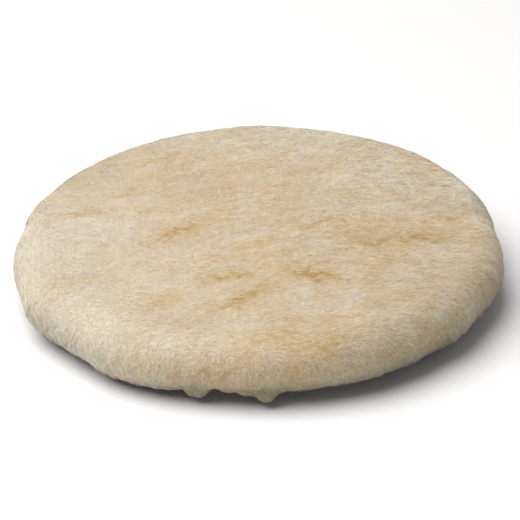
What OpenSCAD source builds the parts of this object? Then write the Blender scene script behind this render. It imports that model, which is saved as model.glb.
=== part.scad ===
// Lambskin polishing pad with a hook-and-loop back.
// Shorn fleece on its own tanned skin, glued to a foam interlayer and a loop
// cloth, and lockstitched through the whole stack near its edge.
// The loop face lies on z = 0, centred on the origin, and the wool points to +Z.

/* [Wool] */
// Height of the shorn wool above the skin, at the shoulder
pile_h = 19; // [12:0.5:30]
// How far the crown of the wool rises above its shoulder
crown_h = 2.5; // [0.5:0.5:6]
// How far the wool spreads past the edge of the skin
wool_spread = 8; // [4:0.5:14]
// Height of the hanging rim of the wool above the plane of the loop face
rim_clear = 3; // [1:0.5:5]

/* [Skin] */
// Diameter of the tanned skin disc
skin_d = 180; // [100:1:230]
// Thickness of the tanned skin
skin_t = 2; // [1:0.1:3]

/* [Foam interlayer] */
// Distance from the edge of the skin in to the edge of the foam
foam_inset = 6; // [2:0.5:12]
// Thickness of the foam disc
foam_t = 5; // [3:0.5:12]

/* [Loop backing] */
// Distance from the edge of the foam in to the edge of the loop cloth
loop_inset = 1.5; // [0.5:0.5:6]
// Thickness of the knitted ground of the loop cloth
ground_t = 0.6; // [0.4:0.1:1.2]
// Height of the loops that stand on the ground
nap_t = 1.4; // [1:0.1:2.5]

/* [Glue] */
// Thickness of each contact adhesive film
glue_t = 0.2; // [0.1:0.05:0.5]

/* [Seam] */
// Distance from the edge of the loop cloth in to the seam
seam_inset = 5; // [3:0.5:12]
// Distance from one needle hole to the next
stitch_pitch = 4; // [3.5:0.25:6]
// Length of the thread that shows between two needle holes
stitch_len = 3; // [1.5:0.25:3.25]
// Thickness of the sewing thread
thread_d = 0.6; // [0.3:0.05:0.9]
// Free space round the thread where it presses into the nap and into the wool
thread_clear = 0.3; // [0.1:0.05:0.6]

/* [Hidden] */

// Fineness of the round pieces, of the thread and of the arcs in the wool's outline
round_fn = 180;
thread_fn = 24;
rim_steps = 20;
crown_steps = 10;

// Gap between the wool that hangs past the edge and the edge of the skin
fringe_clear = 0.3;
// How far a cut runs past the face that it opens
cut_past = 1;

// Diameters of the stack
foam_d = skin_d - 2 * foam_inset;
loop_d = foam_d - 2 * loop_inset;

// Heights of the stack, from the loop face up
z_ground = nap_t;
z_ground_glue = z_ground + ground_t;
z_foam = z_ground_glue + glue_t;
z_skin_glue = z_foam + foam_t;
z_skin = z_skin_glue + glue_t;
z_wool = z_skin + skin_t;
z_shoulder = z_wool + pile_h;

// The wool's outline: a rim arc, and a crown arc that carries on from it with no kink
wool_r = skin_d / 2 + wool_spread;
fringe_r = skin_d / 2 + fringe_clear;
rim_r = (z_shoulder - rim_clear) / 2;
rim_x = wool_r - rim_r;
rim_z = rim_clear + rim_r;
rim_start = -acos(max(0, (fringe_r - rim_x) / rim_r));
crown_r = (pow(rim_x, 2) + 2 * rim_r * crown_h + pow(crown_h, 2)) / (2 * crown_h);
crown_z = z_shoulder + crown_h - crown_r;
crown_start = acos(rim_x / (crown_r - rim_r));

// The seam: whole stitches round a circle inside the edge of the loop cloth
seam_r = loop_d / 2 - seam_inset;
stitch_count = floor(2 * PI * seam_r / stitch_pitch);
channel_w = thread_d + 2 * thread_clear;
channel_h = thread_d + thread_clear;

// Points on an arc round [cx, cy] with radius r, from angle a0 to angle a1
function arc(cx, cy, r, a0, a1, steps) =
    [for (i = [0:steps]) let (a = a0 + (a1 - a0) * i / steps) [cx + r * cos(a), cy + r * sin(a)]];

// A flat disc of the stack with its underside at height z
module layer(d, z, t) {
    translate([0, 0, z]) cylinder(d = d, h = t, $fn = round_fn);
}

// A ring round the seam, with its underside at height z, to cut a channel with
module seam_ring(z, h) {
    difference() {
        layer(2 * seam_r + channel_w, z, h);
        layer(2 * seam_r - channel_w, z - cut_past, h + 2 * cut_past);
    }
}

// One round of stitches with the middle of the thread at height z
module stitches(z) {
    for (i = [0:stitch_count - 1])
        rotate([0, 0, 360 * i / stitch_count])
            translate([seam_r, 0, z])
                rotate([90, 0, 0])
                    cylinder(d = thread_d, h = stitch_len, center = true, $fn = thread_fn);
}

// Half of the wool's cross-section, with room below for the skin and the foam
module wool_section() {
    rim = arc(rim_x, rim_z, rim_r, rim_start, crown_start, rim_steps);
    crown = arc(0, crown_z, crown_r, crown_start, 90, crown_steps);
    flat_rim = rim_x > fringe_r ? [[fringe_r, rim_clear]] : [];
    polygon(concat(
        [[0, z_wool], [fringe_r, z_wool]],
        flat_rim,
        rim,
        [for (i = [1:crown_steps - 1]) crown[i]],
        [[0, z_shoulder + crown_h]]
    ));
}

module wool_pile() {
    color("antiquewhite") difference() {
        rotate_extrude($fn = round_fn) wool_section();
        seam_ring(z_wool - cut_past, channel_h + cut_past);
    }
}

module lambskin() {
    color("wheat") layer(skin_d, z_skin, skin_t);
}

module skin_adhesive() {
    color("khaki") layer(foam_d, z_skin_glue, glue_t);
}

module foam_interlayer() {
    color("dimgray") layer(foam_d, z_foam, foam_t);
}

module ground_adhesive() {
    color("khaki") layer(loop_d, z_ground_glue, glue_t);
}

module loop_ground() {
    color("gainsboro") layer(loop_d, z_ground, ground_t);
}

module loop_nap() {
    color("whitesmoke") difference() {
        layer(loop_d, 0, nap_t);
        seam_ring(-cut_past, nap_t + 2 * cut_past);
    }
}

module needle_thread() {
    color("ivory") stitches(z_ground - thread_d / 2);
}

module bobbin_thread() {
    color("ivory") stitches(z_wool + thread_d / 2);
}

wool_pile();
lambskin();
skin_adhesive();
foam_interlayer();
ground_adhesive();
loop_ground();
loop_nap();
needle_thread();
bobbin_thread();
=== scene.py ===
"""The looks of a lambskin polishing pad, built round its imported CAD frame. Metres, +Z towards the wool."""
import math
import bpy
import numpy as np
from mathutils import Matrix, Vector


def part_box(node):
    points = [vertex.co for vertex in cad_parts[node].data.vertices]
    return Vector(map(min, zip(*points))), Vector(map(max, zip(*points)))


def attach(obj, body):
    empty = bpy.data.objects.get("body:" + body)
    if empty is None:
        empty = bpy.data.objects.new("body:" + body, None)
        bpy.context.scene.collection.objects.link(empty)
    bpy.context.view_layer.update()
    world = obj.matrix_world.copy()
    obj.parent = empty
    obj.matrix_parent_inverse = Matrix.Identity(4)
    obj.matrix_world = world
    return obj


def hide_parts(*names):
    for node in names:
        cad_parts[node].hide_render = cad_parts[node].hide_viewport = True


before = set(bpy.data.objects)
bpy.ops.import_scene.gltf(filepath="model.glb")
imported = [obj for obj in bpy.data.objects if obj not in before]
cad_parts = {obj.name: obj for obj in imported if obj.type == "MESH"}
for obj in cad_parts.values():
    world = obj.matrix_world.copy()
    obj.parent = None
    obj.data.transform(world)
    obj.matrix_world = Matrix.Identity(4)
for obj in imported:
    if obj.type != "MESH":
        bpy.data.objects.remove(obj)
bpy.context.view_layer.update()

MM = 0.001
SEED = 7

# ---------------------------------------------------------------- sizes from the frame
wool_low, wool_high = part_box("wool_pile")
skin_low, skin_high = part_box("lambskin")
foam_low, foam_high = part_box("foam_interlayer")
ground_low, ground_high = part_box("loop_ground")
nap_low, nap_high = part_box("loop_nap")
needle_low, needle_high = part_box("needle_thread")

PAD_R = wool_high.x
SKIN_R = skin_high.x
CROWN_H = 2.5 * MM  # the crown's rise above the shoulder
FRINGE_CLEAR = 0.3 * MM  # between the edge of the skin and the wool that hangs past it

# The wool's outline in section: a crown arc that turns into a rim arc with no kink.
shoulder_z = wool_high.z - CROWN_H
rim_r = (shoulder_z - wool_low.z) / 2
rim_x = PAD_R - rim_r
rim_z = wool_low.z + rim_r
crown_r = (rim_x**2 + 2 * rim_r * CROWN_H + CROWN_H**2) / (2 * CROWN_H)
crown_z = wool_high.z - crown_r
crown_tilt = math.asin(rim_x / (crown_r - rim_r))
hem_tilt = math.pi / 2 + math.acos((SKIN_R + FRINGE_CLEAR - rim_x) / rim_r)
crown_len = crown_r * crown_tilt
hem_len = crown_len + rim_r * (hem_tilt - crown_tilt)


# ---------------------------------------------------------------- smooth noise and helpers
def noise(x, y, layer):
    """Gradient noise from about -1 to 1, with features about one unit wide; each layer has its own."""
    size = 256
    turn = np.random.default_rng(SEED + layer).uniform(0, 2 * np.pi, (size, size))
    xi, yi = np.floor(x).astype(int), np.floor(y).astype(int)
    fx, fy = x - xi, y - yi

    def corner(i, j):
        a = turn[(xi + i) % size, (yi + j) % size]
        return np.cos(a) * (fx - i) + np.sin(a) * (fy - j)

    sx, sy = (f * f * f * (f * (f * 6 - 15) + 10) for f in (fx, fy))
    low = corner(0, 0) * (1 - sx) + corner(1, 0) * sx
    high = corner(0, 1) * (1 - sx) + corner(1, 1) * sx
    return 1.5 * (low * (1 - sy) + high * sy)


def step(x, low, high):
    """0 below low, 1 above high and smooth between."""
    t = np.clip((x - low) / (high - low), 0, 1)
    return t * t * (3 - 2 * t)


def spot(x, y, cx, cy, half_x, half_y):
    """A soft round spot: 1 at its middle, and 1/e at its half sizes."""
    return np.exp(-(((x - cx) / half_x) ** 2) - ((y - cy) / half_y) ** 2)


def turn_from(theta, degrees):
    """How far each direction is turned from one given in degrees, from -pi to pi."""
    return np.remainder(theta - math.radians(degrees) + np.pi, 2 * np.pi) - np.pi


# ---------------------------------------------------------------- the fleece as a surface
# A point p lies on the wool's unrolled plan: its distance from the middle is the length along the section.
# Partings: middle x and y, half length and half width in mm, direction in degrees, and how open each is.
PARTINGS = [
    (-41, 59, 11, 3.2, 31, 0.7), (-71, 8, 14, 3.0, 4, 0.85), (-33, -13, 9, 4.0, 46, 0.9),
    (-20, 1, 13, 3.4, 40, 0.7), (-13, -46, 13, 3.6, 16, 1.0), (-7, -63, 15, 4.2, 38, 1.1),
    (20, -45, 10, 3.8, -18, 1.1), (14, -36, 2, 1.6, 0, 1.3), (50, -18, 13, 5.0, 4, 0.85),
    (68, -14, 9, 3.5, 14, 0.9), (78, 2, 9, 4.0, -24, 0.9), (-35, -63, 6, 5.0, 5, 0.7),
    (-20, -101, 14, 5.0, 8, 0.4), (-76, -48, 9, 7.0, 0, 0.4), (27, -92, 8, 5.0, 22, 0.5),
    (5, -89, 9, 5.0, 7, 0.45), (22, -5, 9, 2.4, 36, 0.6), (75, 31, 7, 1.8, -2, 0.9),
    (-55, 24, 8, 2.5, 27, 0.5), (6, 29, 7, 2.0, 19, 0.5), (44, -36, 8, 2.4, -12, 0.6),
    (52, 42, 24, 1.4, -12, 0.45), (0, -20, 9, 4.0, 30, 0.5), (-60, -48, 10, 5.0, 0, 0.35),
]
PARTING_DEPTH = 0.16
# Hanging locks at the hem, and a notch between them: direction in degrees, half width and drop in mm.
LOCKS = [
    (-104.4, 4.4, 2.3), (-88.2, 3.6, 3.3), (-92.5, 4.0, 1.0), (-100.0, 1.9, -1.9), (-97.0, 1.2, 0.5),
    (-112.0, 5.0, 0.6),
]
LOCK_TILT = math.radians(146)  # how far round the rim the locks hang
# The outline's slow irregularity: direction and half width in degrees, and how far it stands out in mm.
OUTLINE = [
    (45, 40, 0.9), (140, 28, -1.6), (156, 5, -0.8), (175, 7, -1.3), (-134, 26, 1.7), (-151, 7, 2.4),
    (-120, 9, 1.7), (-127, 4, 0.5), (-167, 7, 0.6), (-97, 5, -0.5), (-70, 22, -0.5), (-58, 4, -0.4),
    (-46, 6, -1.2), (-28, 7, -0.7), (-12, 5, 0.5), (5, 8, -2.0), (90, 8, 0.3), (-65, 4, 0.5),
]


def wool_point(p):
    """The place and outward normal on the wool's smooth outline."""
    s, theta = np.hypot(p[..., 0], p[..., 1]), np.arctan2(p[..., 1], p[..., 0])
    crown = s < crown_len
    tilt = np.where(crown, s / crown_r, crown_tilt + (s - crown_len) / rim_r)
    radius = np.where(crown, crown_r, rim_r)
    out = np.where(crown, 0, rim_x) + radius * np.sin(tilt)
    up = np.where(crown, crown_z, rim_z) + radius * np.cos(tilt)
    place = np.stack([out * np.cos(theta), out * np.sin(theta), up], -1)
    side = np.sin(tilt)
    return place, np.stack([side * np.cos(theta), side * np.sin(theta), np.cos(tilt)], -1)


def stream(p):
    """A height over the plan whose level lines the fibres lie along."""
    x, y = p[..., 0] / MM, p[..., 1] / MM
    lean = 0.08 * x - 9 * np.log1p(np.exp(-(x + 5) / 22))
    swirl = 6 * noise(x / 52, y / 44, 1) + 1.6 * noise(x / 17, y / 15, 2)
    return y - lean + swirl


def flow(p):
    """The direction on the plan that the fibres lie along."""
    d = 0.2 * MM
    ex, ey = np.array([d, 0]), np.array([0, d])
    gx = stream(p + ex) - stream(p - ex)
    gy = stream(p + ey) - stream(p - ey)
    along = np.stack([gy, -gx], -1)
    return along / np.linalg.norm(along, axis=-1, keepdims=True)


def parting(p):
    """How open the fleece is at each point, from 0, closed, to about 1 in the middle of a parting."""
    x, y = p[..., 0] / MM, p[..., 1] / MM
    wander = 2.2 * noise(x / 9, y / 9, 3) + 0.7 * noise(x / 3, y / 3, 14)
    ragged = 0.85 + 0.8 * noise(x / 4.2, y / 2, 4) + 0.5 * noise(x / 2.1, y / 0.9, 15)
    opened = np.zeros(x.shape)
    for cx, cy, half, wide, turn, depth in PARTINGS:
        c, s = math.cos(math.radians(turn)), math.sin(math.radians(turn))
        u = (x - cx) * c + (y - cy) * s
        v = (y - cy) * c - (x - cx) * s + wander
        opened += depth * np.exp(-(np.abs(u / half) ** 3) - (v / wide) ** 2)
    return opened * np.clip(ragged, 0.1, 1.8)


def brushed(x):
    """How smoothly the fleece lies, from 0 on most of it to 1 at the left, for x in mm."""
    return step(-x, 10, 60)


def tilt_at(p):
    """The tilt of the smooth outline at a point, in degrees: 90 is the widest place, and more is the hem."""
    return np.degrees(crown_tilt + (np.linalg.norm(p, axis=-1) - crown_len) / rim_r)


def frayed(p):
    """How loose the fibres are: 0 on the face and 1 from the widest place down."""
    return step(tilt_at(p), 50, 96)


def relief(p):
    """How far the fleece stands off its smooth outline, in metres: by the slow wander at the rim, and the rest."""
    x, y = p[..., 0] / MM, p[..., 1] / MM
    s, theta = np.hypot(x, y) * MM, np.arctan2(y, x)
    # At the front the outline wanders below the shoulder only, so that the face stays flat there.
    back = step(y, -25, 25)
    rim = back * step(s, 0.55 * crown_len, 1.02 * crown_len) + (1 - back) * step(tilt_at(p), 12, 85)
    outline = 0.22 * noise(theta * 7, s / (30 * MM), 12) + 0.16 * noise(theta * 19, s / (12 * MM), 13)
    for a, half, height in OUTLINE:
        outline += height * np.exp(-((np.degrees(turn_from(theta, a)) / half) ** 2))
    psi = stream(p)
    lumps = 0.3 * noise(x / 24, psi / 17, 5) + 0.1 * noise(x / 10, psi / 7, 6)
    lumps *= 1 - 0.6 * brushed(x)
    rough = 0.35 + 0.65 * step(x, -60, -10)
    streaks = rough * (0.03 * noise(x / 5, psi / 2.6, 7) + 0.02 * noise(x / 2, psi / 1.5, 8))
    streaks += spot(x, y, 8, -38, 48, 36) * (0.06 * noise(x / 3.4, y / 3, 17) + 0.1 * noise(x / 7, y / 6, 18))
    lock_s = crown_len + rim_r * (LOCK_TILT - crown_tilt)
    hem = np.exp(-((s - lock_s) / (3.2 * MM)) ** 4)
    hang = 0
    for a, half, drop in LOCKS:
        hang = hang + drop * np.exp(-(np.abs(turn_from(theta, a) * PAD_R / MM / half) ** 3.2))
    return MM * rim * outline, MM * (lumps + streaks - PARTING_DEPTH * parting(p) + hem * hang)


def tufts(p):
    """Small clumps that stand out at the rim, in metres. They roughen the outline more than the shading."""
    x, y = p[..., 0] / MM, p[..., 1] / MM
    loose = frayed(p) * (0.3 * noise(x / 3.6, y / 3.6, 24) + 0.24 * noise(x / 1.7, y / 1.7, 25))
    return MM * (loose + 0.15 * step(tilt_at(p), 8, 30) * noise(x / 1.5, y / 1.5, 26))


# ---------------------------------------------------------------- colour of the wool, and its painted light and shade
# Pale patches: middle x, middle y and half sizes along x and y in mm, and strength.
PATCHES = [
    (-78, -15, 16, 20, 0.07), (-63, -4, 22, 8, 0.05), (-30, -89, 10, 7, 0.14), (2, -81, 9, 7, 0.06),
    (69, -67, 4, 5, 0.25), (86, 22, 14, 30, 0.09), (35, 16, 10, 6, 0.08), (66, 34, 26, 18, 0.2),
    (-10, -6, 26, 18, 0.05), (2, 88, 40, 14, 0.06), (32, 52, 45, 24, 0.06), (40, -52, 20, 15, 0.06),
    (-58, -74, 28, 13, 0.07), (-24, -55, 24, 13, 0.09),
]
# Painted light and shade: brighter and darker places that stand in for how the light falls, in the same terms.
PAINTED_LIGHT_AND_SHADE = [
    (5, 52, 62, 30, 0.035), (-56, -96, 32, 10, 0.06), (-72, -52, 14, 16, -0.04), (90, 12, 12, 28, -0.04),
    (-30, 6, 30, 18, 0.02), (-42, -83, 24, 9, -0.05), (64, -64, 20, 14, -0.04), (-14, -104, 20, 8, 0.06),
    (58, -92, 30, 14, -0.12), (76, -50, 28, 32, -0.065), (-60, 30, 22, 14, -0.02), (36, 4, 30, 14, 0.02),
    (72, 50, 20, 24, 0.03), (-16, -30, 22, 22, 0.025),
]
SPECKS = 34  # dark bits of straw and seed caught in the fleece
HEM_SHADE = 0.4  # painted shade: how much darker the wool is made where the hem curls under
LOCK_SHADE = 0.12  # and painted shade at the two hanging locks, which hang in shadow


def tangled(x, y):
    """How tangled the fleece is: 1 in the middle, and 0 towards the edge, for x and y in mm."""
    return spot(x, y, 12, -25, 55, 45)


def wool_tone(p):
    """From 0, warm tan as in a parting, through cream at 0.5 to nearly white at 1."""
    x, y = p[..., 0] / MM, p[..., 1] / MM
    psi = stream(p)
    tone = 0.12 * noise(x / 27, psi / 19, 9) + 0.13 * noise(x / 10, psi / 6, 10)
    tone = 0.465 + (1 - 0.5 * brushed(x)) * tone
    tone += (1 - 0.75 * brushed(x)) * (0.08 + 0.07 * tangled(x, y)) * noise(x / 4, psi / 2.8, 11)
    tone += 0.23 * step(-x, 5, 85) * (1 - 0.5 * step(y, 0, 35)) + 0.2 * step(y, 50, 95)
    for cx, cy, half_x, half_y, strength in PATCHES:
        tone += strength * spot(x, y, cx, cy, half_x, half_y)
    specks = np.random.default_rng(SEED + 40)
    for _ in range(SPECKS):
        cx, cy = specks.normal(0, (38, 30)) + (0, -8)
        tone -= specks.uniform(0.3, 0.8) * spot(x, y, cx, cy, 0.45, 0.35)
    return np.clip(tone - 0.38 * parting(p), 0.02, 0.98)


def grain(p):
    """Fine light and dark in the fleece: granules in the middle, and streaks at the right, where it is combed."""
    x, y = p[..., 0] / MM, p[..., 1] / MM
    psi = stream(p)
    combed = step(x, 0, 50) * (1 - tangled(x, y))
    granular = (1 - 0.75 * brushed(x)) * (0.085 + 0.11 * tangled(x, y) - 0.04 * combed)
    granules = granular * noise(x / 1.5, y / 1.3, 16)
    streaks = (0.02 + 0.09 * combed) * noise(x / 8, psi / 0.9, 31)
    return granules + streaks + 0.05 * combed * noise(x / 4, psi / 0.5, 32)


def wool_shade(p):
    """A factor on the wool's colour: painted shade where the hem curls under and at the two hanging locks, and
    painted light and shade in patches.
    """
    x, y, theta = p[..., 0] / MM, p[..., 1] / MM, np.arctan2(p[..., 1], p[..., 0])
    locks = sum(np.exp(-((turn_from(theta, a) / 0.075) ** 2)) for a in (-104, -88))
    # The hem's painted shade starts higher up the rim towards the front right, away from the light, and lower at
    # the front left.
    right, left = turn_from(theta, -25), turn_from(theta, -132)
    start = 98 - 20 * np.exp(-(right**2)) + 11.5 * np.exp(-((left / 0.7) ** 2))
    hem = HEM_SHADE * step(tilt_at(p), start, start + 40)
    face = 1 + sum(strength * spot(x, y, *place) for *place, strength in PAINTED_LIGHT_AND_SHADE)
    return face - hem - LOCK_SHADE * locks * step(tilt_at(p), 78, 125)


# The relief, tone and shade are worked out once over the plan, and then read off it.
CELL = 0.3 * MM
reach = math.ceil(hem_len / CELL) + 12
cells = CELL * np.arange(-reach, reach + 1)
plan = np.stack(np.meshgrid(cells, cells, indexing="ij"), -1)
(outline_map, lump_map), tuft_map, tone_map = relief(plan), tufts(plan), wool_tone(plan)
# The shade map is painted light and shade, times the fleece's own fine grain.
shade_map = wool_shade(plan) * (1 + grain(plan))
relief_map = outline_map + lump_map + tuft_map
# The slow outline and the tufts show less in the shading than in the shape.
slope_map = np.stack(np.gradient(0.4 * outline_map + lump_map + 0.1 * tuft_map, CELL), -1)


def read(field, p):
    """The value of a map at points of the plan, smooth between its cells."""
    g = np.clip(p / CELL + reach, 0, 2 * reach - 1.001)
    i, j = g[..., 0].astype(int), g[..., 1].astype(int)
    u, v = g[..., 0] - i, g[..., 1] - j
    if field.ndim == 3:
        u, v = u[..., None], v[..., None]
    low = field[i, j] * (1 - v) + field[i, j + 1] * v
    return low * (1 - u) + (field[i + 1, j] * (1 - v) + field[i + 1, j + 1] * v) * u


def wool_facing(p):
    """The outward normal of the fleece with its relief."""
    slope = read(slope_map, p)
    place, normal = wool_point(p)
    s, theta = np.linalg.norm(p, axis=-1), np.arctan2(p[..., 1], p[..., 0])
    c, si = np.cos(theta), np.sin(theta)
    down = np.stack([normal[..., 2] * c, normal[..., 2] * si, -np.hypot(normal[..., 0], normal[..., 1])], -1)
    round_it = np.stack([-si, c, np.zeros_like(c)], -1)
    stretch = s / np.maximum(np.hypot(place[..., 0], place[..., 1]), 1e-6)
    rise_out = slope[..., 0] * c + slope[..., 1] * si
    rise_round = (slope[..., 1] * c - slope[..., 0] * si) * stretch
    turned = normal - rise_out[..., None] * down - rise_round[..., None] * round_it
    return turned / np.linalg.norm(turned, axis=-1, keepdims=True)


# ---------------------------------------------------------------- materials
def material(name, roughness, specular=0.3):
    """A new material, its Principled shader, and short ways to add and link nodes."""
    m = bpy.data.materials.new(name)
    m.use_nodes = True
    nodes, links = m.node_tree.nodes, m.node_tree.links
    shader = nodes["Principled BSDF"]
    shader.inputs["Roughness"].default_value = roughness
    shader.inputs["Specular IOR Level"].default_value = specular

    def add(kind, **values):
        node = nodes.new(kind)
        for key, value in values.items():
            if key in node.inputs:
                node.inputs[key].default_value = value
            else:
                setattr(node, key, value)
        return node

    return m, shader, add, links.new


def ramp(add, stops):
    """A colour ramp node through (position, linear colour) stops."""
    node = add("ShaderNodeValToRGB")
    elements = node.color_ramp.elements
    elements[0].position, elements[1].position = stops[0][0], stops[-1][0]
    elements[0].color, elements[1].color = (*stops[0][1], 1), (*stops[-1][1], 1)
    for position, colour in stops[1:-1]:
        elements.new(position).color = (*colour, 1)
    return node


WOOL_STOPS = [
    (0.0, (0.475, 0.305, 0.13)),
    (0.25, (0.57, 0.425, 0.23)),
    (0.5, (0.615, 0.51, 0.35)),
    (0.75, (0.655, 0.587, 0.477)),
    (1.0, (0.705, 0.667, 0.612)),
]


def wool_material(name, bumpy):
    """Wool whose tone and shade are painted on the mesh, with fine fibres as a bump on the body alone."""
    m, shader, add, link = material(name, 0.85, 0.15)
    tone = add("ShaderNodeAttribute", attribute_name="wool_tone")
    colours = ramp(add, WOOL_STOPS)
    link(tone.outputs["Fac"], colours.inputs["Fac"])
    shade = add("ShaderNodeAttribute", attribute_name="wool_shade")
    shaded = add("ShaderNodeVectorMath", operation="SCALE")
    link(colours.outputs["Color"], shaded.inputs[0])
    link(shade.outputs["Fac"], shaded.inputs["Scale"])
    link(shaded.outputs["Vector"], shader.inputs["Base Color"])
    shader.inputs["Sheen Weight"].default_value = 0.25
    shader.inputs["Sheen Roughness"].default_value = 0.6
    shader.inputs["Sheen Tint"].default_value = (1.0, 0.96, 0.88, 1)
    if bumpy:
        place = add("ShaderNodeTexCoord")
        stretch = add("ShaderNodeMapping", Scale=(260, 1400, 1400))
        fibres = add("ShaderNodeTexNoise", Scale=1.0, Detail=4.0, Roughness=0.6)
        bump = add("ShaderNodeBump", Strength=0.5, Distance=0.0003)
        link(place.outputs["Object"], stretch.inputs["Vector"])
        link(stretch.outputs["Vector"], fibres.inputs["Vector"])
        link(fibres.outputs["Fac"], bump.inputs["Height"])
        link(bump.outputs["Normal"], shader.inputs["Normal"])
    return m


# ---------------------------------------------------------------- meshes
def new_mesh(name, points, quads, triangles, mat, smooth=True):
    """An object from arrays of points and of corner indices, four or three to a face."""
    mesh = bpy.data.meshes.new(name)
    mesh.vertices.add(len(points))
    mesh.vertices.foreach_set("co", np.asarray(points, np.float32).ravel())
    corners = np.concatenate([np.asarray(quads, np.int32).ravel(), np.asarray(triangles, np.int32).ravel()])
    sizes = np.concatenate([np.full(len(quads), 4), np.full(len(triangles), 3)]).astype(np.int32)
    mesh.loops.add(len(corners))
    mesh.loops.foreach_set("vertex_index", corners)
    mesh.polygons.add(len(sizes))
    mesh.polygons.foreach_set("loop_start", np.concatenate([[0], np.cumsum(sizes)[:-1]]).astype(np.int32))
    mesh.polygons.foreach_set("use_smooth", np.full(len(sizes), smooth))
    mesh.update(calc_edges=True)
    mesh.validate()
    mesh.materials.append(mat)
    piece = bpy.data.objects.new(name, mesh)
    bpy.context.scene.collection.objects.link(piece)
    return piece


def point_attribute(piece, name, values):
    """Paint one number on each of a mesh's points."""
    layer = piece.data.attributes.new(name, "FLOAT", "POINT")
    layer.data.foreach_set("value", np.asarray(values, np.float32).ravel())


def ring_starts(rings):
    """The index of each ring's first point on a disc whose ring k holds 6 k points."""
    return [0] + [1 + 3 * k * (k - 1) for k in range(1, rings + 1)]


def hex_disc(rings):
    """A disc of nearly equal triangles: plan points out to a radius of 1, and triangles facing +Z."""
    plan = [np.zeros((1, 2))]
    for k in range(1, rings + 1):
        a = 2 * np.pi * np.arange(6 * k) / (6 * k)
        plan.append(np.stack([np.cos(a), np.sin(a)], 1) * k / rings)
    start = ring_starts(rings)
    faces = [[0, 1 + i, 1 + (i + 1) % 6] for i in range(6)]
    for k in range(2, rings + 1):
        inner, outer = 6 * (k - 1), 6 * k
        for side in range(6):
            for i in range(k):
                a = start[k] + (side * k + i) % outer
                b = start[k] + (side * k + i + 1) % outer
                c = start[k - 1] + (side * (k - 1) + i) % inner
                faces.append([a, b, c])
                if i < k - 1:
                    d = start[k - 1] + (side * (k - 1) + i + 1) % inner
                    faces.append([c, b, d])
    return np.concatenate(plan), np.array(faces)


BODY_RINGS = 170
BODY_SINK = 0.3 * MM  # how far the body lies under the tips of the fibres


def make_wool_body():
    """The fleece's packed under-layer: a closed body with lumps, streaks and partings."""
    plan, faces = hex_disc(BODY_RINGS)
    p = plan * hem_len
    place, normal = wool_point(p)
    top = place + normal * (read(relief_map, p) - BODY_SINK)[:, None]
    edge = np.arange(ring_starts(BODY_RINGS)[-1], len(plan))
    count = len(edge)
    # Closed below: up the inner wall beside the skin, and across just above the skin.
    wall_r = SKIN_R + FRINGE_CLEAR
    theta = np.arctan2(p[edge, 1], p[edge, 0])
    roof_z = skin_high.z + FRINGE_CLEAR
    round_edge = np.stack([np.cos(theta), np.sin(theta)], 1)
    rows = [(wall_r, (wool_low.z + roof_z) / 2)] + [(share * wall_r, roof_z) for share in (1, 0.66, 0.33)]
    extra, last, quads = [], edge, []
    for i, (r, z) in enumerate(rows):
        extra.append(np.concatenate([round_edge * r, np.full((count, 1), z)], 1))
        here = len(top) + i * count + np.arange(count)
        quads.append(np.stack([last, here, np.roll(here, -1), np.roll(last, -1)], 1))
        last = here
    middle = len(top) + len(rows) * count
    fan = np.stack([last, np.full(count, middle), np.roll(last, -1)], 1)
    points = np.concatenate([top, *extra, [[0, 0, roof_z]]])
    body = new_mesh("wool_body", points, np.concatenate(quads), np.concatenate([faces, fan]), wool_body_mat)
    tone = np.concatenate([read(tone_map, p) - 0.05, np.full(len(points) - len(p), 0.4)])
    point_attribute(body, "wool_tone", tone)
    # The body's underside and inner wall get the hem's full painted shade.
    shade = np.concatenate([read(shade_map, p), np.full(len(points) - len(p), 1 - HEM_SHADE)])
    point_attribute(body, "wool_shade", shade)
    return body


ROOT_DEPTH = 0.32 * MM  # how far under the surface the strands start
FIBRE_SHADING = 0.1  # how much a fibre's own roundness shows
SECTORS = 12
STRANDS = 38000  # in each sector
STRAND_LENGTH = 2.8 * MM
STRAND_POINTS = 7  # two at each of three places along a strand, and one at its tip
CLUMP_HEIGHT = 0.55  # in mm


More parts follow.
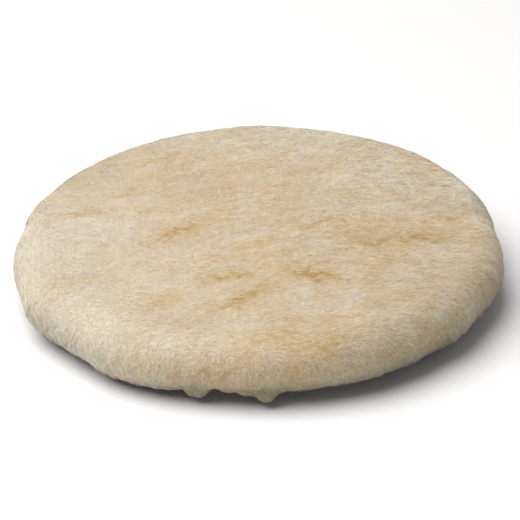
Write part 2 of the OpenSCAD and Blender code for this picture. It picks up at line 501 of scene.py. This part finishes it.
def make_fleece(sector):
    """One sector of the fleece's fibres: short tapered strands that lie along the flow."""
    rng = np.random.default_rng(SEED + 100 + sector)
    n = STRANDS
    s = hem_len * np.sqrt(rng.random(n))
    theta = 2 * np.pi * (sector + rng.random(n)) / SECTORS
    root = np.stack([s * np.cos(theta), s * np.sin(theta)], 1)
    x, y = root[:, 0] / MM, root[:, 1] / MM
    # Either way along the flow in the middle, outwards at the sides and down at the hem.
    way = flow(root)
    way *= np.where(rng.random(n) < step(x * np.sign(way[:, 0]), -50, 50), 1, -1)[:, None]
    hem = step(s, 0.95 * crown_len, hem_len)[:, None]
    way = way * (1 - hem) + hem * root / np.maximum(s, 1e-6)[:, None]
    way /= np.linalg.norm(way, axis=1, keepdims=True)
    # Neighbours lean together and each strays a little, more so on the left, where the fleece is mussed.
    mussed = 1 - 0.6 * step(x, -30, 60)
    stray = 0.3 * noise(x / 6, y / 5, 21) + 0.45 * mussed * rng.standard_normal(n)
    c, si = np.cos(stray), np.sin(stray)
    way = np.stack([way[:, 0] * c - way[:, 1] * si, way[:, 0] * si + way[:, 1] * c], 1)
    across = np.stack([-way[:, 1], way[:, 0]], 1)
    length = STRAND_LENGTH * rng.uniform(0.5, 1.3, n) * (1 - 0.4 * mussed)
    t = np.array([0, 0.4, 0.75, 1])
    bend = MM * 0.1 * rng.standard_normal((n, 4))
    p = root[:, None] + way[:, None] * (length[:, None] * t)[..., None] + across[:, None] * bend[..., None]
    place, normal = wool_point(p)
    proud = rng.uniform(-0.05, 0.1, n) + np.where(rng.random(n) < 0.015, rng.uniform(0.1, 0.6, n), 0)
    # At the rim, clumps of fibres stand out.
    clump = np.clip(noise(x / 3.1, y / 3.1, 22) + 0.6 * noise(x / 1.5, y / 1.5, 23) - 0.15, 0, 1)
    proud = MM * (proud + CLUMP_HEIGHT * clump * frayed(root))
    height = -ROOT_DEPTH * (1 - t[None]) ** 1.4 + proud[:, None] * t[None]
    line = place + normal * (read(relief_map, p) + height)[..., None]
    along = line[:, 3] - line[:, 0]
    along /= np.maximum(np.linalg.norm(along, axis=1, keepdims=True), 1e-9)
    flat = np.cross(normal[:, 0], along)
    flat /= np.maximum(np.linalg.norm(flat, axis=1, keepdims=True), 1e-9)
    roll = rng.normal(0, 0.14, n)[:, None]
    side = flat * np.cos(roll) + normal[:, 0] * np.sin(roll)
    half = side * (MM * rng.uniform(0.055, 0.095, n))[:, None]
    points = [line[:, 0] - half, line[:, 0] + half, line[:, 1] - half, line[:, 1] + half]
    points = np.stack(points + [line[:, 2] - 0.75 * half, line[:, 2] + 0.75 * half, line[:, 3]], 1)
    base = STRAND_POINTS * np.arange(n)[:, None]
    quads = np.concatenate([base + [[0, 2, 3, 1]], base + [[2, 4, 5, 3]]])
    piece = new_mesh(f"fleece_{sector + 1}", points.reshape(-1, 3), quads, base + [[4, 6, 5]], wool_mat)
    # The light sees each fibre nearly as a patch of the surface, because real wool lets light through.
    own = np.cross(along, side)
    scatter = (0.055 - 0.03 * brushed(x))[:, None] * rng.standard_normal((n, 3))
    soft = wool_facing(root) + FIBRE_SHADING * own + scatter
    soft /= np.linalg.norm(soft, axis=1, keepdims=True)
    piece.data.normals_split_custom_set_from_vertices(np.repeat(soft, STRAND_POINTS, axis=0))
    uneven = 0.04 - 0.02 * brushed(x)
    tone = read(tone_map, p) + (uneven * rng.standard_normal(n))[:, None] + 0.06 * (t[None] - 0.5)
    tone = np.clip(tone, 0.02, 0.98)
    point_attribute(piece, "wool_tone", tone[:, [0, 0, 1, 1, 2, 2, 3]])
    lit = 1 + (0.12 - 0.055 * brushed(x) + 0.04 * step(tilt_at(root), 10, 60)) * rng.standard_normal(n)
    # Each fibre takes the painted light and shade at its root, times a random brightness of its own.
    shade = read(shade_map, root) * np.clip(lit, 0.7, 1.3)
    point_attribute(piece, "wool_shade", np.repeat(shade, STRAND_POINTS))
    return piece


wool_body_mat = wool_material("wool under-layer", True)
wool_mat = wool_material("wool fibres", False)
wool_body = make_wool_body()
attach(wool_body, "root")
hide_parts("wool_pile")
for sector in range(SECTORS):
    fleece = make_fleece(sector)
    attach(fleece, "root")


# ---------------------------------------------------------------- the hide, the foam and the loop cloth
def lathe(name, profile, count, mat, shift=None):
    """A closed solid of revolution from (radius, height) points, from the axis below to the axis above."""
    profile = np.asarray(profile, float)
    a = 2 * np.pi * np.arange(count) / count
    r, z = profile[1:-1, 0, None], profile[1:-1, 1, None]
    rings = np.stack([r * np.cos(a), r * np.sin(a), z + 0 * a], 2)
    if shift:
        rings = rings + shift(rings)
    rows = len(rings)
    index = 1 + np.arange(rows * count).reshape(rows, count)
    turned = np.roll(index, -1, axis=1)
    quads = np.stack([index[:-1], turned[:-1], turned[1:], index[1:]], 2).reshape(-1, 4)
    end = 1 + rows * count
    first = np.stack([np.zeros(count, int), turned[0], index[0]], 1)
    last = np.stack([index[-1], turned[-1], np.full(count, end)], 1)
    points = np.concatenate([[[0, 0, profile[0, 1]]], rings.reshape(-1, 3), [[0, 0, profile[-1, 1]]]])
    return new_mesh(name, points, quads, np.concatenate([first, last]), mat)


def spread(low, high, count):
    """Evenly spaced numbers, as a list."""
    return list(np.linspace(low, high, count))


def grainy_material(name, colour, dark, scale, roughness, strength, distance, cells=False, sheen=0.0):
    """A matt material whose grain or cells show as a colour change and a bump; scale is grains per metre."""
    m, shader, add, link = material(name, roughness, 0.2)
    place = add("ShaderNodeTexCoord")
    if cells:
        grain = add("ShaderNodeTexVoronoi", Scale=scale)
        grain_out = grain.outputs["Distance"]
    else:
        grain = add("ShaderNodeTexNoise", Scale=scale, Detail=5.0, Roughness=0.65)
        grain_out = grain.outputs["Fac"]
    cloud = add("ShaderNodeTexNoise", Scale=scale / 14, Detail=3.0)
    both = add("ShaderNodeMath", operation="MULTIPLY_ADD")
    both.inputs[1].default_value = 0.6
    colours = ramp(add, [(0.25, dark), (0.75, colour)])
    bump = add("ShaderNodeBump", Strength=strength, Distance=distance)
    link(place.outputs["Object"], grain.inputs["Vector"])
    link(place.outputs["Object"], cloud.inputs["Vector"])
    link(grain_out, both.inputs[0])
    link(cloud.outputs["Fac"], both.inputs[2])
    link(both.outputs["Value"], colours.inputs["Fac"])
    link(colours.outputs["Color"], shader.inputs["Base Color"])
    link(grain_out, bump.inputs["Height"])
    link(bump.outputs["Normal"], shader.inputs["Normal"])
    shader.inputs["Sheen Weight"].default_value = sheen
    return m


def make_hide():
    """The hide: a sueded underside that waves a little past the foam, and an edge cut by hand."""
    low, high, bevel = skin_low.z, skin_high.z, 0.25 * MM

    def shift(q):
        x, y = q[..., 0] / MM, q[..., 1] / MM
        r = np.maximum(np.hypot(x, y), 1e-6)
        theta = np.arctan2(y, x)
        past = step(r, foam_high.x / MM + 0.3, SKIN_R / MM)
        out = past * (0.22 * noise(theta * 9, 0 * r, 50) + 0.08 * noise(theta * 40, 0 * r, 51) - 0.15)
        # Only the free edge waves, and its two faces stay the hide's thickness apart.
        up = past * (0.1 * noise(theta * 5, 0 * r, 52) - 0.12)
        up += 0.04 * noise(x / 1.1, y / 1.1, 53) * (q[..., 2] < (low + high) / 2) * past
        return MM * np.stack([out * x / r, out * y / r, up], -1)

    out_to = spread(8 * MM, foam_high.x, 8) + spread(foam_high.x + 0.4 * MM, SKIN_R - bevel, 14)
    profile = [(0, low)] + [(r, low) for r in out_to]
    profile += [(SKIN_R - 0.05 * MM, low + 0.4 * bevel), (SKIN_R, low + bevel), (SKIN_R, (low + high) / 2)]
    profile += [(SKIN_R, high - bevel), (SKIN_R - 0.05 * MM, high - 0.4 * bevel), (SKIN_R - bevel, high)]
    profile += [(0.5 * SKIN_R, high), (0, high)]
    tan, brown = (0.62, 0.52, 0.385), (0.47, 0.37, 0.25)
    hide_mat = grainy_material("sueded hide", tan, brown, 2600, 0.9, 0.5, 0.00025, sheen=0.3)
    piece = lathe("hide", profile, 900, hide_mat, shift)
    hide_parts("lambskin")
    return piece


def make_foam():
    """The foam interlayer: open cells show on its cut edge."""
    low, high, radius = foam_low.z, foam_high.z, foam_high.x

    def shift(q):
        x, y, z = (q[..., k] / MM for k in range(3))
        r = np.maximum(np.hypot(x, y), 1e-6)
        around = np.arctan2(y, x) * radius / MM
        side = q[..., 2] > low + 0.02 * MM
        across = np.where(side, z, r)
        pits = np.clip(noise(around / 0.62, across / 0.62, 60) - 0.12, 0, 1) * 0.55
        pits += np.clip(noise(around / 0.3, across / 0.3, 61) - 0.1, 0, 1) * 0.18
        edge = step(r, radius / MM - 2.2, radius / MM - 1.6)
        inwards = -np.where(side, pits, 0) * edge
        upwards = np.where(side, 0, pits) * edge
        return MM * np.stack([inwards * x / r, inwards * y / r, upwards], -1)

    profile = [(0, low)] + [(r, low) for r in (0.5 * radius, radius - 3 * MM)]
    profile += [(r, low) for r in spread(radius - 2.2 * MM, radius - 0.25 * MM, 9)]
    profile += [(radius - 0.05 * MM, low + 0.06 * MM)]
    profile += [(radius, z) for z in spread(low + 0.25 * MM, high - 0.2 * MM, 19)]
    profile += [(radius - 0.1 * MM, high), (0.5 * radius, high), (0, high)]
    grey, dark = (0.19, 0.19, 0.2), (0.075, 0.075, 0.08)
    foam_mat = grainy_material("open-cell foam", grey, dark, 1900, 0.95, 0.7, 0.0003, cells=True)
    piece = lathe("foam", profile, 2200, foam_mat, shift)
    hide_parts("foam_interlayer")
    return piece


CLOTH_PALE, CLOTH_DARK = (0.72, 0.715, 0.69), (0.5, 0.495, 0.47)
THREAD_R = (needle_high.z - needle_low.z) / 2
seam_r = needle_high.x - THREAD_R


def make_loop_ground():
    """The knitted ground of the loop cloth."""
    low, high, radius = ground_low.z, ground_high.z, ground_high.x
    profile = [(0, low)] + [(r, low) for r in spread(6 * MM, radius - 0.1 * MM, 14)]
    profile += [(radius, low + 0.1 * MM), (radius, high - 0.1 * MM), (radius - 0.1 * MM, high)]
    profile += [(0.5 * radius, high), (0, high)]
    cloth_mat = grainy_material("knitted ground", CLOTH_PALE, CLOTH_DARK, 1800, 0.85, 0.6, 0.0003)
    piece = lathe("loop_cloth", profile, 360, cloth_mat)
    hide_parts("loop_ground")
    return piece


NAP_RINGS = 118


def make_nap_base():
    """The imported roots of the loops, pressed down along the seam."""
    low, high, radius = nap_low.z + 0.5 * MM, nap_high.z, nap_high.x
    plan, faces = hex_disc(NAP_RINGS)
    p = plan * (radius - 0.2 * MM)
    x, y, r = p[:, 0] / MM, p[:, 1] / MM, np.hypot(p[:, 0], p[:, 1])
    rough = 0.16 * noise(x / 1.5, y / 1.5, 70) + 0.12 * noise(x / 6, y / 6, 71)
    pressed = np.exp(-(((r - seam_r) / (1.1 * MM)) ** 4))
    z = (low + MM * rough) * (1 - pressed) + (high - 0.1 * MM) * pressed
    start, count = ring_starts(NAP_RINGS)[-1], 6 * NAP_RINGS
    edge = start + np.arange(count)
    a = np.arctan2(p[edge, 1], p[edge, 0])
    rim = np.stack([np.cos(a), np.sin(a)], 1)
    rows = [(radius, low + 0.4 * MM), (radius, high), (0.5 * radius, high)]
    points, quads, last = [np.concatenate([p, z[:, None]], 1)], [], edge
    for i, (row_r, row_z) in enumerate(rows):
        points.append(np.concatenate([rim * row_r, np.full((count, 1), row_z)], 1))
        here = len(p) + i * count + np.arange(count)
        quads.append(np.stack([last, np.roll(last, -1), np.roll(here, -1), here], 1))
        last = here
    points.append([[0, 0, high]])
    fan = np.stack([last, np.roll(last, -1), np.full(count, len(p) + len(rows) * count)], 1)
    nap_mat = grainy_material("loop roots", CLOTH_PALE, CLOTH_DARK, 2400, 0.9, 0.6, 0.0004)
    faces = np.concatenate([faces[:, ::-1], fan])
    piece = new_mesh("nap_roots", np.concatenate(points), np.concatenate(quads), faces, nap_mat)
    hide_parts("loop_nap")
    return piece


NAP_SECTORS = 3
NAP_LOOPS = 19000  # in each sector
NAP_STEPS = 6  # places along a loop, with two points at each


def make_nap_loops(sector, mat):
    """The loops that hooks catch: thin arches that hang from the cloth and lean every way."""
    rng = np.random.default_rng(SEED + 300 + sector)
    n = int(NAP_LOOPS * 1.15)
    r = (nap_high.x - 0.35 * MM) * np.sqrt(rng.random(n))
    theta = 2 * np.pi * (sector + rng.random(n)) / NAP_SECTORS
    keep = np.abs(r - seam_r) > 1.25 * MM
    r, theta = r[keep][:NAP_LOOPS], theta[keep][:NAP_LOOPS]
    n = len(r)
    root = np.stack([r * np.cos(theta), r * np.sin(theta)], 1)
    x, y = root[:, 0] / MM, root[:, 1] / MM
    turn = 3.0 * noise(x / 9, y / 9, 72) + rng.normal(0, 0.8, n)
    way = np.stack([np.cos(turn), np.sin(turn)], 1)
    over = np.stack([-way[:, 1], way[:, 0]], 1)
    u = np.linspace(-1, 1, NAP_STEPS)
    half = MM * rng.uniform(0.3, 0.65, n)[:, None]
    lean = MM * rng.normal(0, 0.3, n)[:, None]
    arch = (1 - u[None] ** 2) ** 0.6
    bottom = nap_low.z + MM * rng.uniform(0.04, 0.4, n)[:, None]
    top = nap_low.z + MM * 0.85
    flat = root[:, None] + way[:, None] * (half * u)[..., None] + over[:, None] * (lean * arch)[..., None]
    line = np.concatenate([flat, (top - (top - bottom) * arch)[..., None]], 2)
    along = np.gradient(line, axis=1)
    along /= np.linalg.norm(along, axis=2, keepdims=True)
    tilt = rng.normal(0, 0.5, n)[:, None, None]
    side = np.concatenate([over[:, None] * np.cos(tilt), np.sin(tilt)], 2) + 0 * along
    side -= along * np.sum(side * along, axis=2, keepdims=True)
    side *= MM * 0.065 / np.linalg.norm(side, axis=2, keepdims=True)
    points = np.stack([line - side, line + side], 2)
    points[..., 2] = np.maximum(points[..., 2], nap_low.z + 0.02 * MM)
    base = 2 * NAP_STEPS * np.arange(n)[:, None]
    quads = np.concatenate([base + [[i, i + 1, i + 3, i + 2]] for i in range(0, 2 * NAP_STEPS - 2, 2)])
    piece = new_mesh(f"nap_loops_{sector + 1}", points.reshape(-1, 3), quads, np.zeros((0, 3), int), mat)
    own = np.cross(along, side)
    own /= np.linalg.norm(own, axis=2, keepdims=True)
    own *= np.where(own[..., 2:] > 0, -1, 1)
    facing = 0.45 * own + [0, 0, -1]
    facing /= np.linalg.norm(facing, axis=2, keepdims=True)
    piece.data.normals_split_custom_set_from_vertices(np.repeat(facing, 2, axis=1).reshape(-1, 3))
    return piece


STITCH_PITCH = 4.0 * MM
STITCH_HALF = 1.5 * MM
STITCH_STEPS = 19  # rings along a ply
PLY_SIDES = 6
PLY_R = 0.155 * MM
PLY_OFFSET = 0.145 * MM  # from the thread's middle line to a ply's
PLY_TURNS = 1.7  # of the twist, in one stitch
STITCH_DIVE = 0.42 * MM


def make_stitches(name, node, dive):
    """A lockstitch row of three-ply thread, whose ends go into the cloth: up for a dive of 1, or down for -1."""
    low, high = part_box(node)
    middle, radius = (low.z + high.z) / 2, high.x - THREAD_R
    count = math.floor(2 * math.pi * radius / STITCH_PITCH)
    t = np.linspace(-1, 1, STITCH_STEPS)
    # Taut in the middle, and pulled into the cloth at both ends.
    sink = STITCH_DIVE * np.clip(np.abs(t) - 0.72, 0, 1) ** 1.3 / 0.28**1.3
    squeeze = 1 - 0.35 * np.abs(t) ** 6
    round_it = 2 * np.pi * np.arange(PLY_SIDES) / PLY_SIDES
    points, quads, caps = [], [], []
    for k in range(3):
        phase = 2 * np.pi * (PLY_TURNS * (t + 1) / 2 + k / 3)
        first = PLY_SIDES * STITCH_STEPS * k
        last = first + PLY_SIDES * (STITCH_STEPS - 1)
        for x0, s0, ph, sq in zip(t * STITCH_HALF, sink, phase, squeeze):
            out = sq * (PLY_OFFSET * math.cos(ph) + PLY_R * np.cos(round_it))
            up = sq * (PLY_OFFSET * math.sin(ph) + PLY_R * np.sin(round_it))
            points.append(np.stack([np.full(PLY_SIDES, x0), out, up + dive * s0], 1))
        for start in range(first, last, PLY_SIDES):
            a = start + np.arange(PLY_SIDES)
            b = a + PLY_SIDES
            quads.append(np.stack([a, np.roll(a, -1), np.roll(b, -1), b], 1))
        caps += [[first, first + i + 1, first + i] for i in range(1, PLY_SIDES - 1)]
        caps += [[last, last + i, last + i + 1] for i in range(1, PLY_SIDES - 1)]
    one, quads, caps = np.concatenate(points), np.concatenate(quads), np.array(caps)
    a = 2 * np.pi * np.arange(count) / count
    tangent = np.stack([-np.sin(a), np.cos(a), 0 * a], 1)
    outward = np.stack([np.cos(a), np.sin(a), 0 * a], 1)
    place = outward * radius + [0, 0, middle]
    every = place[:, None] + one[None, :, :1] * tangent[:, None] + one[None, :, 1:2] * outward[:, None]
    every = (every + one[None, :, 2:] * np.array([0, 0, 1])).reshape(-1, 3)
    shift = len(one) * np.arange(count)[:, None, None]
    quads, caps = (quads + shift).reshape(-1, 4), (caps + shift).reshape(-1, 3)
    piece = new_mesh(name, every, quads, caps, thread_mat)
    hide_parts(node)
    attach(piece, "root")


hide, foam, loop_cloth, nap_roots = make_hide(), make_foam(), make_loop_ground(), make_nap_base()
loop_mat, loop_shader, _, _ = material("loops", 0.6, 0.35)
loop_shader.inputs["Base Color"].default_value = (*CLOTH_PALE, 1)
nap_loops = [make_nap_loops(sector, loop_mat) for sector in range(NAP_SECTORS)]
for piece in [hide, foam, loop_cloth, nap_roots, *nap_loops]:
    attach(piece, "root")
cream, straw = (0.76, 0.7, 0.57), (0.6, 0.54, 0.42)
thread_mat = grainy_material("thread", cream, straw, 5200, 0.55, 0.3, 0.0001, sheen=0.2)
make_stitches("needle_stitches", "needle_thread", 1)
make_stitches("bobbin_stitches", "bobbin_thread", -1)
glue_mat, glue_shader, _, _ = material("glue film", 0.35, 0.45)
glue_shader.inputs["Base Color"].default_value = (0.48, 0.35, 0.11, 1)
for node in ("skin_adhesive", "ground_adhesive"):
    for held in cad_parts[node].material_slots:
        held.material = glue_mat

# ---------------------------------------------------------------- stage, lights and camera
scene = bpy.context.scene
scene.view_settings.view_transform = "Standard"


def make_floor():
    """A plain pale floor under the pad."""
    m, shader, _, _ = material("pale floor", 0.8, 0.2)
    shader.inputs["Base Color"].default_value = (0.68, 0.68, 0.68, 1)
    half = 4.0
    corners = [(-half, -half, 0), (half, -half, 0), (half, half, 0), (-half, half, 0)]
    floor = new_mesh("floor", corners, [[0, 1, 2, 3]], np.zeros((0, 3)), m, smooth=False)


def area_light(name, place, size, power, colour):
    """A round soft light that faces the pad."""
    data = bpy.data.lights.new(name, "AREA")
    data.shape = "DISK"
    data.size = size
    data.energy = power
    data.color = colour
    lamp = bpy.data.objects.new(name, data)
    lamp.location = place
    lamp.rotation_euler = (Vector((0, 0, 0)) - Vector(place)).to_track_quat("-Z", "Y").to_euler()
    scene.collection.objects.link(lamp)


make_floor()
area_light("key", (-0.74, -0.25, 1.7), 2.0, 62, (1.0, 0.985, 0.965))
world = bpy.data.worlds.new("studio")
scene.world = world
world.use_nodes = True
world.node_tree.nodes["Background"].inputs["Color"].default_value = (0.95, 0.97, 1, 1)
world.node_tree.nodes["Background"].inputs["Strength"].default_value = 0.35

ELEVATION = math.radians(28.8)
DISTANCE = 0.95
PAD_SHARE = 0.9346  # how much of the picture's width the pad fills
camera = bpy.data.objects.new("camera", bpy.data.cameras.new("camera"))
scene.collection.objects.link(camera)
target = Vector((0.0004, 0, 11.5 * MM))
camera.location = target + DISTANCE * Vector((0, -math.cos(ELEVATION), math.sin(ELEVATION)))
camera.rotation_euler = (target - camera.location).to_track_quat("-Z", "Y").to_euler()
camera.data.lens = camera.data.sensor_width * DISTANCE * PAD_SHARE / (2 * PAD_R)
scene.camera = camera
